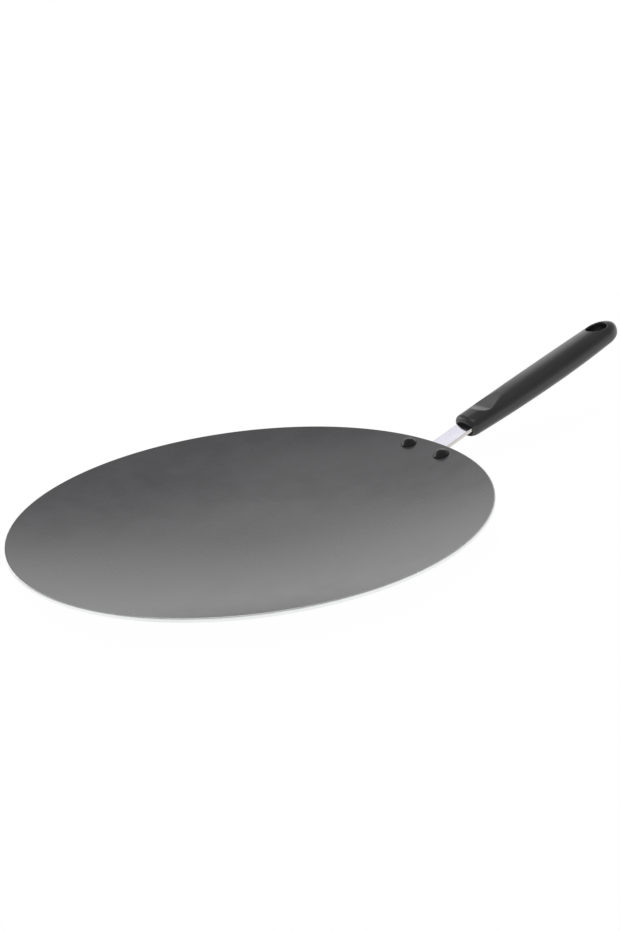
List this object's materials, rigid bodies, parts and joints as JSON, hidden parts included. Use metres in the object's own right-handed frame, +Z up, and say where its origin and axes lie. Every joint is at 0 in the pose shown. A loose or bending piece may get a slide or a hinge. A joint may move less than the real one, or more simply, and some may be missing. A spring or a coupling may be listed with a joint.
{
  "type": "griddle pan",
  "caption": "Shallow dished round griddle pan with a riveted flat strap and a long rising moulded grip that ends in a hanging hole.",
  "frame": {"origin": "middle of the flat round underside that the pan stands on", "axes": "+Z up, square to the flat underside; +X out along the handle; +Y across the handle"},
  "size_m": [0.4816, 0.3, 0.0744],
  "materials": {
    "coated_sheet": "satin grey non-stick coat on aluminium, with a bare cut edge",
    "coated_rivet": "dark satin coat",
    "bright_steel": "polished flats, plain cut edges",
    "black_moulding": "satin black thermoset moulding",
    "zinc_plate": "zinc plated",
    "brass": "turned"
  },
  "bodies": {
    "root": {"tawa_plate": "coated_sheet", "rivet_left": "coated_rivet", "rivet_right": "coated_rivet", "handle_bracket": "bright_steel", "handle_grip": "black_moulding", "grip_screw": "zinc_plate", "lock_washer": "zinc_plate", "thread_insert": "brass"}
  },
  "joints": []
}
